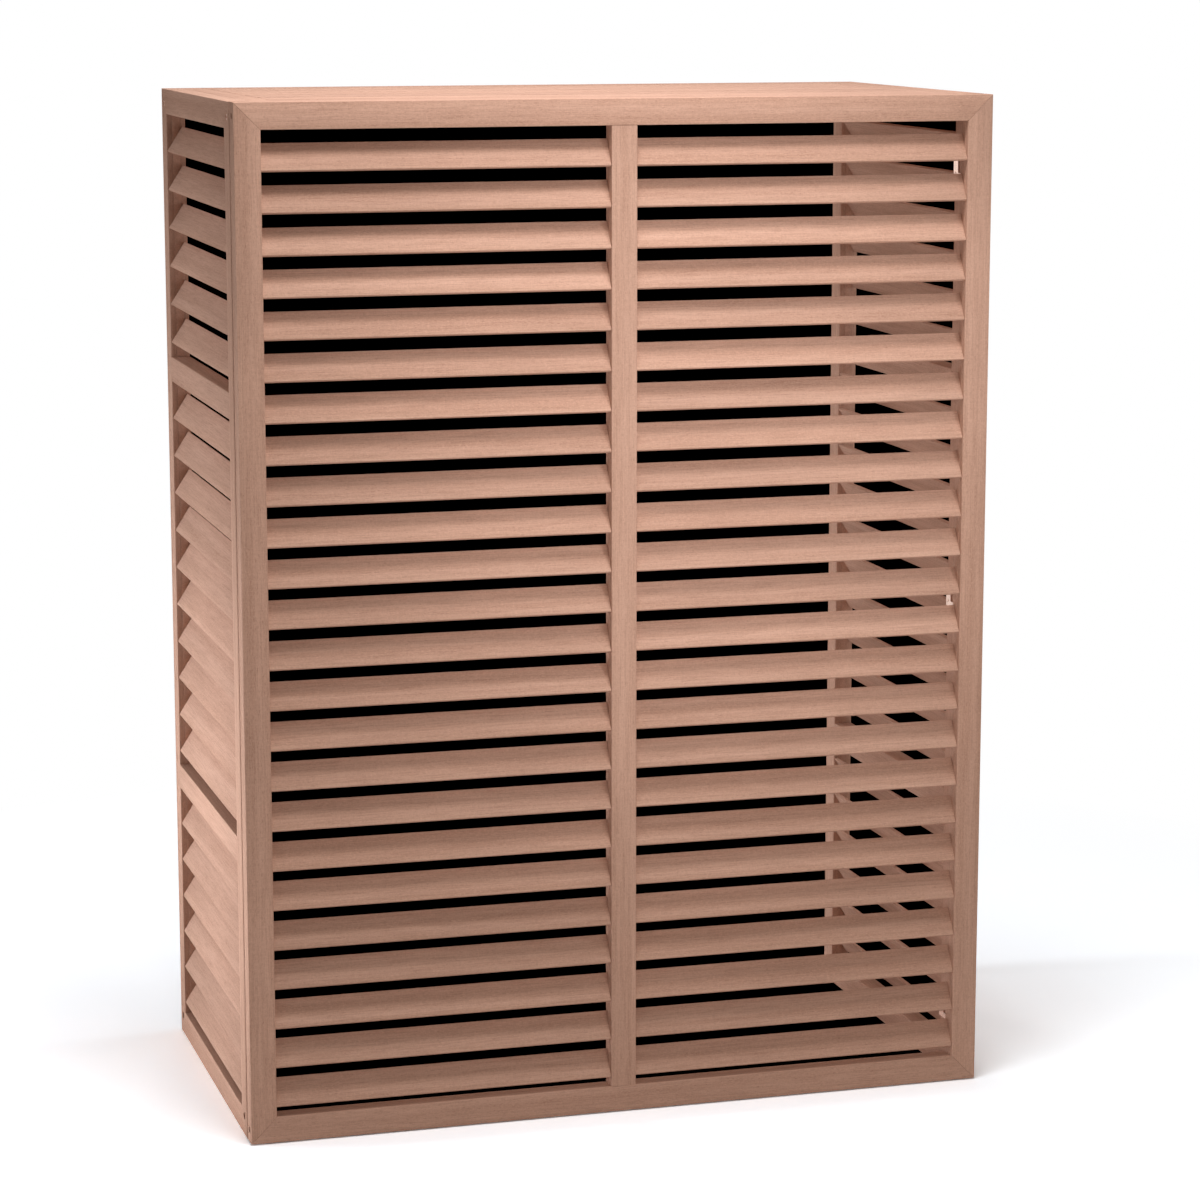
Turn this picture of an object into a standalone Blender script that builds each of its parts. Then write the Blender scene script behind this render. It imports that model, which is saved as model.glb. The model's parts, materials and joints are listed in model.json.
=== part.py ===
"""Louvred timber screen that stands round an outdoor air conditioner.

Metres, +Z up. The floor is z = 0, the door faces -Y and the back is open to the wall.
The origin is under the middle of the whole screen, hinge barrels included.
Every panel is drawn in its own frame: x runs along the panel, z up it, and y from its
outer face inwards. An empty then turns and places the panel.
"""

import math

import bmesh
import bpy
from mathutils import Vector

# Overall size
WIDTH = 1.126
DEPTH = 0.600
HEIGHT = 1.500

# Timber sections
STOCK_WIDTH = 0.038
STOCK_THICKNESS = 0.029
STOCK_ARRIS = 0.0015

# Gaps
FIT = 0.0003
DOOR_GAP = 0.005
DOOR_FLOOR_CLEARANCE = 0.002
OVERRUN = 0.004

# Louvre slats
SLAT_WIDTH = 0.0435
SLAT_THICKNESS = 0.005
SLAT_ARRIS = 0.0008
SLAT_TILT = math.radians(58)
SLAT_PITCH = 0.0587
SLAT_START = 0.018
SLAT_TOP_CLEARANCE = 0.010
CROSS_RAIL_ROW_SHARE = 0.25

# Splines that carry the slats' ends, in grooves along the stiles
SPLINE_WIDTH = 0.012
GROOVE_DEPTH = 0.008

# Top boards and what they lie on
BOARD_WIDTH = 0.080
BOARD_THICKNESS = 0.012
BOARD_GAP_LEAST = 0.012
CLEAT_WIDTH = 0.020

# Hinges
HINGE_HEIGHT = 0.040
HINGE_END_OFFSET = 0.105
BARREL_RADIUS = 0.0045
PIN_RADIUS = 0.0022
PIN_HEAD_RADIUS = 0.0038
PIN_HEAD_HEIGHT = 0.0015
LEAF_THICKNESS = 0.0018
LEAF_BEND_RADIUS = 0.0030
DOOR_LEAF_LENGTH = 0.032
FRAME_LEAF_WRAP = 0.038

# Screws, bolts and empty fixing holes
SCREW_HEAD_RADIUS = 0.0034
SCREW_HEAD_HEIGHT = 0.0025
SCREW_SHANK_RADIUS = 0.0018
SCREW_LENGTH = 0.060
SCREW_RECESS = 0.006
BOLT_HEAD_RADIUS = 0.0050
BOLT_HEAD_HEIGHT = 0.0030
BOLT_SHANK_RADIUS = 0.0025
BOLT_RECESS = 0.0006
TOP_BOLT_DROP = 0.022
TOP_BOLT_GRIP = 0.045
FIXING_HOLE_RISE = 0.029
FIXING_HOLE_RADIUS = 0.0030
COUNTERBORE_RADIUS = 0.0055
COUNTERBORE_DEPTH = 0.0070

# Magnetic catches
CATCH_LENGTH = 0.044
CATCH_DEPTH = 0.026
CATCH_WIDTH = 0.013
CATCH_ARRIS = 0.0015
CATCH_AIR = 0.0005
STRIKE_THICKNESS = 0.0012
STRIKE_LENGTH = 0.040

# Sides of round pieces, and the edges that stay sharp on them
ROUND_SIDES = 10
BARREL_STEPS = 14
BEND_STEPS = 4
SHARP_ANGLE = math.radians(40)

# Where the pieces meet, worked out from the sizes above
PANEL_FRONT = STOCK_THICKNESS + DOOR_GAP
PANEL_DEPTH = DEPTH - PANEL_FRONT
DOOR_HEIGHT = HEIGHT - DOOR_FLOOR_CLEARANCE
TOP_WIDTH = WIDTH - 2 * (STOCK_THICKNESS + FIT)
LEFT_FACE = -(WIDTH + 2 * BARREL_RADIUS) / 2
RIGHT_FACE = LEFT_FACE + WIDTH
FRONT_FACE = -DEPTH / 2
BACK_FACE = DEPTH / 2
HINGE_AXIS = (RIGHT_FACE + BARREL_RADIUS, FRONT_FACE + STOCK_THICKNESS + DOOR_GAP / 2, 0)
HINGE_HEIGHTS = {
    "lower": HINGE_END_OFFSET,
    "middle": HEIGHT / 2,
    "upper": HEIGHT - HINGE_END_OFFSET,
}

SLAT_RISE = SLAT_WIDTH * math.sin(SLAT_TILT)
SLAT_DROP = SLAT_THICKNESS * math.cos(SLAT_TILT)
SLAT_REACH = SLAT_WIDTH * math.cos(SLAT_TILT) + SLAT_THICKNESS * math.sin(SLAT_TILT)
SLAT_SETBACK = (STOCK_THICKNESS - SLAT_REACH) / 2
OPENING_HEIGHT = HEIGHT - 2 * STOCK_WIDTH
SLAT_ROOM = OPENING_HEIGHT - SLAT_START - SLAT_RISE - SLAT_TOP_CLEARANCE
SLAT_ROWS = 1 + int(SLAT_ROOM / SLAT_PITCH)
LOWER_RAIL_ROW = round(SLAT_ROWS * CROSS_RAIL_ROW_SHARE)
UPPER_RAIL_ROW = SLAT_ROWS - 1 - LOWER_RAIL_ROW

TIMBER = {"colour": (0.47, 0.27, 0.195, 1), "roughness": 0.62, "metallic": 0.0}
ZINC_STEEL = {"colour": (0.72, 0.72, 0.70, 1), "roughness": 0.32, "metallic": 1.0}
DARK_PLASTIC = {"colour": (0.05, 0.045, 0.04, 1), "roughness": 0.5, "metallic": 0.0}


# Drawing tools


def rectangle(low, high):
    """Corners of a rectangle, in order."""
    return [low, (high[0], low[1]), high, (low[0], high[1])]


def eased_rectangle(low, high, arris):
    """Corners of a rectangle, in order, each cut off by arris."""
    a0, b0 = low
    a1, b1 = high
    return [
        (a0 + arris, b0),
        (a1 - arris, b0),
        (a1, b0 + arris),
        (a1, b1 - arris),
        (a1 - arris, b1),
        (a0 + arris, b1),
        (a0, b1 - arris),
        (a0, b0 + arris),
    ]


def arc(centre, radius, start, end, steps):
    """Points on an arc, both ends included."""
    points = []
    for step in range(steps + 1):
        angle = start + (end - start) * step / steps
        points.append((centre[0] + radius * math.cos(angle), centre[1] + radius * math.sin(angle)))
    return points


def add_bar(bm, outline, axis, start, end):
    """Adds a bar. Its outline is given in the other two axes, and it runs along axis."""
    across = [i for i in range(3) if i != axis]
    corners = []
    for point in outline:
        corner = Vector((0, 0, 0))
        corner[axis] = start
        corner[across[0]] = point[0]
        corner[across[1]] = point[1]
        corners.append(bm.verts.new(corner))
    face = bm.faces.new(corners)
    extruded = bmesh.ops.extrude_face_region(bm, geom=[face], use_keep_orig=True)
    moved = [item for item in extruded["geom"] if isinstance(item, bmesh.types.BMVert)]
    run = Vector((0, 0, 0))
    run[axis] = end - start
    bmesh.ops.translate(bm, vec=run, verts=moved)


def add_turned(bm, base, direction, profile):
    """Adds a turned piece from (radius, distance) pairs, measured from base along direction."""
    base = Vector(base)
    direction = Vector(direction)
    turn = Vector((0, 0, 1)).rotation_difference(direction).to_matrix()
    circle = bmesh.ops.create_circle(bm, segments=ROUND_SIDES, radius=profile[0][0])
    ring = circle["verts"]
    bmesh.ops.rotate(bm, matrix=turn, verts=ring)
    bmesh.ops.translate(bm, vec=base + direction * profile[0][1], verts=ring)
    bm.faces.new(ring)
    for (radius, distance), (next_radius, next_distance) in zip(profile, profile[1:]):
        edges = [edge for edge in bm.edges if edge.verts[0] in ring and edge.verts[1] in ring]
        extruded = bmesh.ops.extrude_edge_only(bm, edges=edges)
        ring = [item for item in extruded["geom"] if isinstance(item, bmesh.types.BMVert)]
        centre = base + direction * distance
        for vertex in ring:
            vertex.co = centre + (vertex.co - centre) * (next_radius / radius)
        bmesh.ops.translate(bm, vec=direction * (next_distance - distance), verts=ring)
    end = [edge for edge in bm.edges if edge.verts[0] in ring and edge.verts[1] in ring]
    bmesh.ops.holes_fill(bm, edges=end)


def cut_away(bm, point, direction):
    """Cuts a convex body at a plane and removes what lies beyond it along direction."""
    geometry = bm.verts[:] + bm.edges[:] + bm.faces[:]
    bmesh.ops.bisect_plane(bm, geom=geometry, plane_co=point, plane_no=direction, clear_outer=True)
    bmesh.ops.holes_fill(bm, edges=[edge for edge in bm.edges if edge.is_boundary])


def add_empty(name, location, rotation=(0, 0, 0), parent=None):
    """Adds the empty that carries a panel or a hinge."""
    empty = bpy.data.objects.new(name, None)
    bpy.context.scene.collection.objects.link(empty)
    empty.location = location
    empty.rotation_euler = rotation
    empty.parent = parent
    return empty


def add_piece(name, bm, parent, finish, smooth=False):
    """Turns a finished bmesh into a named object with its own material."""
    bmesh.ops.recalc_face_normals(bm, faces=bm.faces[:])
    mesh = bpy.data.meshes.new(name)
    bm.to_mesh(mesh)
    bm.free()
    material = bpy.data.materials.new(name)
    material.use_nodes = True
    shader = material.node_tree.nodes["Principled BSDF"]
    shader.inputs["Base Color"].default_value = finish["colour"]
    shader.inputs["Roughness"].default_value = finish["roughness"]
    shader.inputs["Metallic"].default_value = finish["metallic"]
    mesh.materials.append(material)
    if smooth:
        mesh.shade_smooth()
        mesh.set_sharp_from_angle(angle=SHARP_ANGLE)
    piece = bpy.data.objects.new(name, mesh)
    bpy.context.scene.collection.objects.link(piece)
    piece.parent = parent
    return piece


def add_cutter(name, bm, parent):
    """Turns a bmesh into a shape that only cuts other pieces, or is joined to one."""
    bmesh.ops.recalc_face_normals(bm, faces=bm.faces[:])
    mesh = bpy.data.meshes.new(name)
    bm.to_mesh(mesh)
    bm.free()
    cutter = bpy.data.objects.new(name, mesh)
    bpy.context.scene.collection.objects.link(cutter)
    cutter.parent = parent
    cutter.hide_render = True
    cutter.display_type = "WIRE"
    return cutter


def cut(pieces, cutter, operation="DIFFERENCE"):
    """Cuts each piece with a cutter, or joins the cutter to it where the operation is UNION."""
    for piece in pieces:
        modifier = piece.modifiers.new(cutter.name, "BOOLEAN")
        modifier.operation = operation
        modifier.solver = "EXACT"
        modifier.object = cutter


# Frames


def frame_bar(axis, edge, inward, length):
    """A bar of the timber stock along axis, whose outer edge lies at edge."""
    bm = bmesh.new()
    low = min(edge, edge + inward * STOCK_WIDTH)
    high = max(edge, edge + inward * STOCK_WIDTH)
    if axis == 0:
        outline = eased_rectangle((0, low), (STOCK_THICKNESS, high), STOCK_ARRIS)
    else:
        outline = eased_rectangle((low, 0), (high, STOCK_THICKNESS), STOCK_ARRIS)
    add_bar(bm, outline, axis, 0, length)
    return bm


def mitre(bm, corner, inward_x, inward_z, is_rail):
    """Cuts a bar along the diagonal of a frame's corner, half a fitting gap from it."""
    towards_rail = Vector((inward_x, 0, -inward_z)).normalized()
    keep = towards_rail if is_rail else -towards_rail
    cut_away(bm, Vector(corner) + keep * (FIT / 2), -keep)


def mitred_frame(parent, width, height, stile_names, rail_names):
    """Two stiles and two rails with mitred corners. Returns them by name."""
    pieces = {}
    for name, edge, inward in zip(stile_names, (0, width), (1, -1)):
        bm = frame_bar(2, edge, inward, height)
        mitre(bm, (edge, 0, 0), inward, 1, is_rail=False)
        mitre(bm, (edge, 0, height), inward, -1, is_rail=False)
        pieces[name] = add_piece(name, bm, parent, TIMBER)
    for name, edge, inward in zip(rail_names, (0, height), (1, -1)):
        bm = frame_bar(0, edge, inward, width)
        mitre(bm, (0, 0, edge), 1, inward, is_rail=True)
        mitre(bm, (width, 0, edge), -1, inward, is_rail=True)
        pieces[name] = add_piece(name, bm, parent, TIMBER)
    return pieces


# Louvre slats


def row_height(row):
    """Height above the floor of a slat's front lower corner."""
    return STOCK_WIDTH + SLAT_START + row * SLAT_PITCH


def slat_outline(height):
    """Outline of a slat, in y and z, with its front lower corner at height."""
    along = Vector((math.cos(SLAT_TILT), math.sin(SLAT_TILT)))
    through = Vector((math.sin(SLAT_TILT), -math.cos(SLAT_TILT)))
    corner = Vector((SLAT_SETBACK, height))
    flat = eased_rectangle((0, 0), (SLAT_WIDTH, SLAT_THICKNESS), SLAT_ARRIS)
    return [corner + along * a + through * b for a, b in flat]


def add_louvres(name, parent, bay, span, rows, floor_offset):
    """Slats between two stiles, joined at both ends to the splines that carry them.

    The bay gives the stiles' facing edges in x, and the span the rails' facing edges in z.
    """
    start, end = bay
    low_y = (STOCK_THICKNESS - SPLINE_WIDTH) / 2 + FIT
    high_y = (STOCK_THICKNESS + SPLINE_WIDTH) / 2 - FIT
    buried = GROOVE_DEPTH - FIT
    proud = 2 * FIT
    bm = bmesh.new()
    for low_x, high_x in ((start - buried, start + proud), (end - proud, end + buried)):
        outline = rectangle((low_x, low_y), (high_x, high_y))
        add_bar(bm, outline, 2, span[0] + FIT, span[1] - FIT)
    splines = add_piece(name, bm, parent, TIMBER)
    slats = bmesh.new()
    for row in rows:
        add_bar(slats, slat_outline(row_height(row) - floor_offset), 0, start + FIT, end - FIT)
    cut([splines], add_cutter(name + "_slats", slats, parent), "UNION")


def groove_cutter(name, parent, bays, span):
    """The grooves along the stiles' facing edges that take the splines."""
    low_y = (STOCK_THICKNESS - SPLINE_WIDTH) / 2
    bm = bmesh.new()
    for start, end in bays:
        outline = rectangle((start - GROOVE_DEPTH, low_y), (end + GROOVE_DEPTH, low_y + SPLINE_WIDTH))
        add_bar(bm, outline, 2, span[0], span[1])
    return add_cutter(name, bm, parent)


# Screws and bolts


def screw_profile():
    """A screw, measured from the top of its head."""
    return [
        (SCREW_HEAD_RADIUS, 0),
        (SCREW_HEAD_RADIUS, SCREW_HEAD_HEIGHT),
        (SCREW_SHANK_RADIUS, SCREW_HEAD_HEIGHT),
        (SCREW_SHANK_RADIUS, SCREW_LENGTH),
    ]


def bolt_profile(length):
    """A bolt, measured from the top of its head."""
    return [
        (BOLT_HEAD_RADIUS, 0),
        (BOLT_HEAD_RADIUS, BOLT_HEAD_HEIGHT),
        (BOLT_SHANK_RADIUS, BOLT_HEAD_HEIGHT),
        (BOLT_SHANK_RADIUS, length),
    ]


def hole_profile(profile, lead):
    """The hole that a turned piece needs, with a lead that opens it to the air."""
    first_radius, first_distance = profile[0]
    last_radius, last_distance = profile[-1]
    grown = [(first_radius + FIT, first_distance - lead)]
    for radius, distance in profile[1:-1]:
        grown.append((radius + FIT, distance + FIT))
    grown.append((last_radius + FIT, last_distance + FIT))
    return grown


def add_fasteners(group, parent, places, recess, profile):
    """Like fasteners, one object each, and one cutter for all their holes.

    Each place has a name, the point where the axis meets the timber's face, and the
    driving direction.
    """
    holes = bmesh.new()
    for name, point, direction in places:
        base = Vector(point) + Vector(direction) * recess
        bm = bmesh.new()
        add_turned(bm, base, direction, profile)
        add_piece(name, bm, parent, ZINC_STEEL, smooth=True)
        add_turned(holes, base, direction, hole_profile(profile, recess + OVERRUN))
    return add_cutter(group + "_holes", holes, parent)


# Door


def build_door(pivot):
    """The front panel: a mitred frame with a mullion and two bays of slats."""
    left, front, _ = Vector((LEFT_FACE, FRONT_FACE, 0)) - Vector(HINGE_AXIS)
    panel = add_empty("door_panel", (left, front, DOOR_FLOOR_CLEARANCE), parent=pivot)
    frame = mitred_frame(
        panel,
        WIDTH,
        DOOR_HEIGHT,
        ("door_left_stile", "door_right_stile"),
        ("door_bottom_rail", "door_top_rail"),
    )
    mullion_left = (WIDTH - STOCK_WIDTH) / 2
    mullion_right = mullion_left + STOCK_WIDTH
    mullion = build_mullion(panel, mullion_left, mullion_right)
    bays = [(STOCK_WIDTH, mullion_left), (mullion_right, WIDTH - STOCK_WIDTH)]
    span = (STOCK_WIDTH, DOOR_HEIGHT - STOCK_WIDTH)
    for name, bay in zip(("door_left_louvres", "door_right_louvres"), bays):
        add_louvres(name, panel, bay, span, range(SLAT_ROWS), DOOR_FLOOR_CLEARANCE)
    grooves = groove_cutter("door_grooves", panel, bays, span)
    cut([frame["door_left_stile"], mullion, frame["door_right_stile"]], grooves)
    build_door_screws(panel, frame)
    build_strikes(panel)


def build_mullion(panel, left, right):
    """The upright between the two bays, butted between the rails."""
    bm = bmesh.new()
    outline = eased_rectangle((left, 0), (right, STOCK_THICKNESS), STOCK_ARRIS)
    add_bar(bm, outline, 2, STOCK_WIDTH + FIT, DOOR_HEIGHT - STOCK_WIDTH - FIT)
    return add_piece("door_mullion", bm, panel, TIMBER)


def build_door_screws(panel, frame):
    """Screws driven across the mitres from the door's edges, deep in their holes."""
    middle = STOCK_THICKNESS / 2
    places = []
    for level, height in (("lower", STOCK_WIDTH / 2), ("upper", DOOR_HEIGHT - STOCK_WIDTH / 2)):
        places.append((level + "_left_door_screw", (0, middle, height), (1, 0, 0)))
        places.append((level + "_right_door_screw", (WIDTH, middle, height), (-1, 0, 0)))
    holes = add_fasteners("door_screw", panel, places, SCREW_RECESS, screw_profile())
    cut(list(frame.values()), holes)


def build_strikes(panel):
    """Steel plates on the back of the door's left stile, for the magnetic catches."""
    low = (STOCK_THICKNESS + FIT, STOCK_THICKNESS + FIT)
    high = (STOCK_WIDTH - FIT, STOCK_THICKNESS + FIT + STRIKE_THICKNESS)
    for level, height in catch_heights():
        centre = height - DOOR_FLOOR_CLEARANCE
        bm = bmesh.new()
        add_bar(bm, rectangle(low, high), 2, centre - STRIKE_LENGTH / 2, centre + STRIKE_LENGTH / 2)
        add_piece(level + "_strike_plate", bm, panel, ZINC_STEEL)


def catch_heights():
    """The catches' levels and heights: the same as the outer hinges."""
    return [(level, HINGE_HEIGHTS[level]) for level in ("lower", "upper")]


# Side panels


def build_side(prefix, panel, front_at_end):
    """A side panel: a mitred frame, two cross rails and three groups of slats."""
    stile_names = [prefix + "_rear_stile", prefix + "_front_stile"]
    if not front_at_end:
        stile_names.reverse()
    frame = mitred_frame(
        panel,
        PANEL_DEPTH,
        HEIGHT,
        stile_names,
        (prefix + "_bottom_rail", prefix + "_top_rail"),
    )
    build_cross_rail(prefix + "_lower_cross_rail", panel, LOWER_RAIL_ROW)
    build_cross_rail(prefix + "_upper_cross_rail", panel, UPPER_RAIL_ROW)
    bay = (STOCK_WIDTH, PANEL_DEPTH - STOCK_WIDTH)
    edges = [STOCK_WIDTH]
    for row in (LOWER_RAIL_ROW, UPPER_RAIL_ROW):
        edges.append(cross_rail_centre(row) - STOCK_WIDTH / 2)
        edges.append(cross_rail_centre(row) + STOCK_WIDTH / 2)
    edges.append(HEIGHT - STOCK_WIDTH)
    groups = (
        ("lower", edges[0:2], range(LOWER_RAIL_ROW)),
        ("middle", edges[2:4], range(LOWER_RAIL_ROW + 1, UPPER_RAIL_ROW)),
        ("upper", edges[4:6], range(UPPER_RAIL_ROW + 1, SLAT_ROWS)),
    )
    stiles = [frame[name] for name in stile_names]
    for level, span, rows in groups:
        name = prefix + "_" + level + "_louvres"
        add_louvres(name, panel, bay, span, rows, 0)
        cut(stiles, groove_cutter(name + "_grooves", panel, [bay], span))
    return frame


def cross_rail_centre(row):
    """Height of a cross rail's centre line, which takes the place of one slat."""
    return row_height(row) + (SLAT_RISE - SLAT_DROP) / 2


def build_cross_rail(name, panel, row):
    """A rail butted between the stiles of a side panel."""
    centre = cross_rail_centre(row)
    low = (0, centre - STOCK_WIDTH / 2)
    high = (STOCK_THICKNESS, centre + STOCK_WIDTH / 2)
    bm = bmesh.new()
    outline = eased_rectangle(low, high, STOCK_ARRIS)
    add_bar(bm, outline, 0, STOCK_WIDTH + FIT, PANEL_DEPTH - STOCK_WIDTH - FIT)
    add_piece(name, bm, panel, TIMBER)


def build_side_bolts(prefix, panel, frame, top_frame, ends):
    """Bolts through the tops of the stiles into the top frame, and empty holes at their feet."""
    centres = (STOCK_WIDTH / 2, PANEL_DEPTH - STOCK_WIDTH / 2)
    length = BOLT_HEAD_HEIGHT + STOCK_THICKNESS - BOLT_RECESS + TOP_BOLT_GRIP
    places = []
    feet = bmesh.new()
    fixing_hole = [
        (COUNTERBORE_RADIUS, -OVERRUN),
        (COUNTERBORE_RADIUS, COUNTERBORE_DEPTH),
        (FIXING_HOLE_RADIUS, COUNTERBORE_DEPTH),
        (FIXING_HOLE_RADIUS, STOCK_THICKNESS + OVERRUN),
    ]
    for end, x in zip(ends, centres):
        name = prefix + "_" + end + "_top_bolt"
        places.append((name, (x, 0, HEIGHT - TOP_BOLT_DROP), (0, 1, 0)))
        add_turned(feet, (x, 0, FIXING_HOLE_RISE), (0, 1, 0), fixing_hole)
    holes = add_fasteners(prefix + "_top_bolt", panel, places, BOLT_RECESS, bolt_profile(length))
    cut(list(frame.values()) + top_frame, holes)
    cut(list(frame.values()), add_cutter(prefix + "_fixing_holes", feet, panel))


def build_catches(panel):
    """Magnetic catches on the inner face of the left front stile."""
    inner = STOCK_THICKNESS + FIT
    nose = PANEL_DEPTH + DOOR_GAP - FIT - STRIKE_THICKNESS - CATCH_AIR
    low = (nose - CATCH_DEPTH, inner)
    high = (nose, inner + CATCH_WIDTH)
    for level, height in catch_heights():
        bm = bmesh.new()
        outline = eased_rectangle(low, high, CATCH_ARRIS)
        add_bar(bm, outline, 2, height - CATCH_LENGTH / 2, height + CATCH_LENGTH / 2)
        add_piece(level + "_magnetic_catch", bm, panel, DARK_PLASTIC)


# Top panel


def build_top(panel):
    """The top: a mitred frame, boards lying along it, and the cleats and batten under them."""
    frame = mitred_frame(
        panel,
        TOP_WIDTH,
        PANEL_DEPTH,
        ("top_left_end", "top_right_end"),
        ("top_front_rail", "top_rear_rail"),
    )
    build_boards(panel)
    under_boards = BOARD_THICKNESS + FIT
    left_edge = STOCK_WIDTH + FIT
    right_edge = TOP_WIDTH - STOCK_WIDTH - FIT
    strips = {
        "top_left_cleat": (left_edge, left_edge + CLEAT_WIDTH),
        "top_middle_batten": ((TOP_WIDTH - STOCK_WIDTH) / 2, (TOP_WIDTH + STOCK_WIDTH) / 2),
        "top_right_cleat": (right_edge - CLEAT_WIDTH, right_edge),
    }
    for name, (start, end) in strips.items():
        bm = bmesh.new()
        outline = rectangle((start, under_boards), (end, STOCK_THICKNESS))
        add_bar(bm, outline, 2, STOCK_WIDTH + FIT, PANEL_DEPTH - STOCK_WIDTH - FIT)
        add_piece(name, bm, panel, TIMBER)
    return list(frame.values())


def build_boards(panel):
    """The boards, evenly spaced between the rails."""
    room = PANEL_DEPTH - 2 * STOCK_WIDTH
    count = int((room - BOARD_GAP_LEAST) / (BOARD_WIDTH + BOARD_GAP_LEAST))
    gap = (room - count * BOARD_WIDTH) / (count + 1)
    for number in range(count):
        low = STOCK_WIDTH + gap + number * (BOARD_WIDTH + gap)
        bm = bmesh.new()
        outline = eased_rectangle((0, low), (BOARD_THICKNESS, low + BOARD_WIDTH), STOCK_ARRIS)
        add_bar(bm, outline, 0, STOCK_WIDTH + FIT, TOP_WIDTH - STOCK_WIDTH - FIT)
        add_piece("top_board_" + str(number + 1), bm, panel, TIMBER)


# Hinges


def barrel_arc(low_y, high_y):
    """The barrel's outline from the lower to the upper side of the leaf that runs into it."""
    start = math.pi - math.asin(low_y / BARREL_RADIUS)
    end = 3 * math.pi - math.asin(high_y / BARREL_RADIUS)
    return arc((0, 0), BARREL_RADIUS, start, end, BARREL_STEPS)


def door_leaf_outline():
    """The door's leaf, flat on the back of its stile, seen from above about the pin."""
    low_y = -DOOR_GAP / 2 + FIT
    high_y = low_y + LEAF_THICKNESS
    end = -BARREL_RADIUS - DOOR_LEAF_LENGTH
    return [(end, high_y), (end, low_y)] + barrel_arc(low_y, high_y)


def frame_leaf_outline():
    """The side panel's leaf, bent round the front stile onto its inner face."""
    high_y = DOOR_GAP / 2 - FIT
    low_y = high_y - LEAF_THICKNESS
    inner = -BARREL_RADIUS - STOCK_THICKNESS - FIT
    outer = inner - LEAF_THICKNESS
    end = DOOR_GAP / 2 + FRAME_LEAF_WRAP
    centre = (outer + LEAF_BEND_RADIUS, low_y + LEAF_BEND_RADIUS)
    bend = arc(centre, LEAF_BEND_RADIUS, math.pi, 1.5 * math.pi, BEND_STEPS)
    return [(inner, high_y), (inner, end), (outer, end)] + bend + barrel_arc(low_y, high_y)


def third_of(height, number):
    """The lowest and highest point of one of a hinge's three barrel lengths."""
    third = HINGE_HEIGHT / 3
    low = height - HINGE_HEIGHT / 2 + number * third
    return low, low + third


def barrel_gap_cutter(name, parent, numbers):
    """Takes a leaf's barrel away where the other leaf's barrel turns."""
    reach = BARREL_RADIUS + OVERRUN
    bm = bmesh.new()
    for height in HINGE_HEIGHTS.values():
        for number in numbers:
            low, high = third_of(height, number)
            low -= FIT / 2 if number else OVERRUN
            high += FIT / 2 if number < 2 else OVERRUN
            add_bar(bm, rectangle((-BARREL_RADIUS, -reach), (reach, reach)), 2, low, high)
    return add_cutter(name, bm, parent)


def build_hinges(pivot, post):
    """Three hinges: a leaf on the door, a leaf on the right panel, and a pin through both."""
    door_gaps = barrel_gap_cutter("door_leaf_gaps", pivot, (0, 2))
    post_gaps = barrel_gap_cutter("frame_leaf_gaps", post, (1,))
    bores = bmesh.new()
    door_leaves = []
    frame_leaves = []
    for level, height in HINGE_HEIGHTS.items():
        low = height - HINGE_HEIGHT / 2
        high = height + HINGE_HEIGHT / 2
        for group, outline, parent, side in (
            (door_leaves, door_leaf_outline(), pivot, "door"),
            (frame_leaves, frame_leaf_outline(), post, "frame"),
        ):
            bm = bmesh.new()
            add_bar(bm, outline, 2, low, high)
            name = level + "_hinge_" + side + "_leaf"
            group.append(add_piece(name, bm, parent, ZINC_STEEL, smooth=True))
        build_pin(level, post, low, high)
        bore = [(PIN_RADIUS + FIT, -OVERRUN), (PIN_RADIUS + FIT, HINGE_HEIGHT + OVERRUN)]
        add_turned(bores, (0, 0, low), (0, 0, 1), bore)
    bore_cutter = add_cutter("pin_bores", bores, post)
    cut(door_leaves, door_gaps)
    cut(frame_leaves, post_gaps)
    cut(door_leaves + frame_leaves, bore_cutter)


def build_pin(level, post, low, high):
    """A pin with a head above the barrel and a riveted foot below it."""
    foot = PIN_HEAD_HEIGHT + high - low + 2 * FIT
    profile = [
        (PIN_HEAD_RADIUS, 0),
        (PIN_HEAD_RADIUS, PIN_HEAD_HEIGHT),
        (PIN_RADIUS, PIN_HEAD_HEIGHT),
        (PIN_RADIUS, foot),
        (PIN_HEAD_RADIUS, foot),
        (PIN_HEAD_RADIUS, foot + PIN_HEAD_HEIGHT),
    ]
    bm = bmesh.new()
    add_turned(bm, (0, 0, high + FIT + PIN_HEAD_HEIGHT), (0, 0, -1), profile)
    add_piece(level + "_hinge_pin", bm, post, ZINC_STEEL, smooth=True)


# Whole screen


def build_screen():
    """Empties for the panels, then every panel and what joins them."""
    quarter = math.pi / 2
    pivot = add_empty("door_pivot", HINGE_AXIS)
    post = add_empty("hinge_post", HINGE_AXIS)
    left_panel = add_empty("left_panel", (LEFT_FACE, BACK_FACE, 0), (0, 0, -quarter))
    right_panel = add_empty("right_panel", (RIGHT_FACE, FRONT_FACE + PANEL_FRONT, 0), (0, 0, quarter))
    top_corner = (LEFT_FACE + STOCK_THICKNESS + FIT, FRONT_FACE + PANEL_FRONT, HEIGHT)
    top_panel = add_empty("top_panel", top_corner, (-quarter, 0, 0))
    build_door(pivot)
    left_frame = build_side("left", left_panel, True)
    right_frame = build_side("right", right_panel, False)
    top_frame = build_top(top_panel)
    build_side_bolts("left", left_panel, left_frame, top_frame, ("rear", "front"))
    build_side_bolts("right", right_panel, right_frame, top_frame, ("front", "rear"))
    build_catches(left_panel)
    build_hinges(pivot, post)


for old in list(bpy.data.objects):
    bpy.data.objects.remove(old)

build_screen()
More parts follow.
